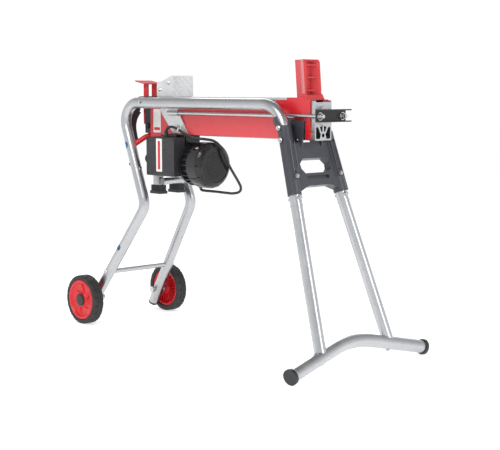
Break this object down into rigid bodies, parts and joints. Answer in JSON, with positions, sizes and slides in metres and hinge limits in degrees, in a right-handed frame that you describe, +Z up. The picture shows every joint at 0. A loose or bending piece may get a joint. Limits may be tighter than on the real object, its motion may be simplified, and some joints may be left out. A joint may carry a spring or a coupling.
{
  "type": "electric log splitter",
  "caption": "Horizontal electric log splitter on a wheeled tube stand: a hydraulic ram pulls a tread-plate pusher along the beam towards a fixed wedge.",
  "frame": {"origin": "middle of the footprint at ground level", "axes": "+X from the wheels to the front stand, along the ram's working stroke; +Y to the far side, away from the switch box; +Z up"},
  "size_m": [1.2443, 0.6034, 0.914],
  "materials": {
    "tube_steel": "satin zinc-plated tube",
    "red_paint": "satin powder coat",
    "red_plastic": "moulded",
    "green_plastic": "moulded",
    "tyre_rubber": "fine tread",
    "rubber": "matte",
    "black_plastic": "moulded",
    "slate_cast": "satin powder coat on castings and sheet",
    "black_paint": "gloss",
    "slate_plastic": "fine moulded texture",
    "zinc": "bright zinc plate",
    "bright_steel": "ground",
    "galvanised": "galvanised sheet",
    "beam_alloy": "extruded"
  },
  "bodies": {
    "stand": {"frame_tube_near": "tube_steel", "frame_tube_far": "tube_steel", "rear_support": "red_paint", "rear_guard": "slate_cast", "axle_crossbar": "tube_steel", "tube_plugs": "black_plastic", "wheel_axles": "zinc", "hub_caps": "black_plastic", "bracket_near": "slate_cast", "bracket_far": "slate_cast", "bracket_plate": "slate_cast", "leg_near": "tube_steel", "leg_far": "tube_steel", "foot_bar": "tube_steel", "foot_caps": "black_plastic", "frame_bolts": "zinc", "beam_profile": "beam_alloy", "table_plate": "galvanised", "side_panels": "red_paint", "wedge": "red_paint", "wedge_saddle": "red_paint", "rod_gland": "bright_steel", "valve_block": "slate_cast", "spool_spring": "zinc", "lever_pin": "zinc", "bleed_screw": "zinc", "oil_dipstick": "black_plastic", "pump_housing": "black_paint", "motor_housing": "black_paint", "motor_stator": "bright_steel", "fan_cover": "black_paint", "switch_box": "slate_plastic", "switch_box_lid": "slate_plastic", "power_inlet": "black_plastic", "cable_glands": "black_plastic", "motor_lead": "rubber", "base_frame": "tube_steel", "rubber_feet": "rubber"},
    "ram": {"pusher_head": "galvanised", "pusher_cheeks": "galvanised", "pusher_bolts": "zinc", "rod_bosses": "zinc", "tie_rods": "zinc", "yoke": "black_paint", "yoke_nuts": "zinc", "piston_rod": "bright_steel", "piston": "bright_steel"},
    "wheel_near": {"wheel_rim_near": "red_plastic", "wheel_tyre_near": "tyre_rubber"},
    "wheel_far": {"wheel_rim_far": "red_plastic", "wheel_tyre_far": "tyre_rubber"},
    "lever": {"control_lever": "red_paint"},
    "spool": {"valve_spool": "bright_steel"},
    "start": {"start_button": "green_plastic"},
    "stop": {"stop_button": "red_plastic"},
    "flap": {"inlet_flap": "black_plastic"},
    "rotor": {"motor_rotor": "bright_steel", "motor_fan": "black_plastic", "pump_drive_gear": "bright_steel"},
    "driven_gear": {"pump_driven_gear": "bright_steel"}
  },
  "joints": [
    {"name": "ram_slide", "type": "slide", "parent": "stand", "child": "ram", "axis": [1, 0, 0], "range_m": [0, 0.385]},
    {"name": "wheel_near_spin", "type": "hinge", "parent": "stand", "child": "wheel_near", "pos_m": [-0.53607, -0.189, 0.086], "axis": [0, 1, 0], "continuous": true},
    {"name": "wheel_far_spin", "type": "hinge", "parent": "stand", "child": "wheel_far", "pos_m": [-0.53607, 0.189, 0.086], "axis": [0, 1, 0], "continuous": true},
    {"name": "lever_press", "type": "hinge", "parent": "stand", "child": "lever", "pos_m": [-0.3914, 0, 0.765], "axis": [0, -1, 0], "range_deg": [0, 8], "stiffness_Nm_per_rad": 6, "springref_deg": -8.59},
    {"name": "spool_slide", "type": "slide", "parent": "stand", "child": "spool", "axis": [1, 0, 0], "range_m": [0, 0.0071], "deforming": ["spool_spring"]},
    {"name": "start_press", "type": "slide", "parent": "stand", "child": "start", "axis": [1, 0, 0], "range_m": [0, 0.004], "stiffness_N_per_m": 400, "springref_m": -0.004},
    {"name": "stop_press", "type": "slide", "parent": "stand", "child": "stop", "axis": [1, 0, 0], "range_m": [0, 0.004], "stiffness_N_per_m": 400, "springref_m": -0.004},
    {"name": "inlet_flap_hinge", "type": "hinge", "parent": "stand", "child": "flap", "pos_m": [-0.3328, -0.056, 0.6065], "axis": [0, 1, 0], "range_deg": [0, 110], "stiffness_Nm_per_rad": 0.01, "springref_deg": -17.19},
    {"name": "motor_spin", "type": "hinge", "parent": "stand", "child": "rotor", "pos_m": [-0.2154, 0, 0.574], "axis": [1, 0, 0], "continuous": true},
    {"name": "driven_gear_spin", "type": "hinge", "parent": "stand", "child": "driven_gear", "pos_m": [-0.2154, 0, 0.6044], "axis": [1, 0, 0], "continuous": true}
  ],
  "couplings": [
    {"joint": "spool_slide", "follows": "lever_press", "m_per_rad": 0.05},
    {"joint": "driven_gear_spin", "follows": "motor_spin", "ratio": -1}
  ]
}
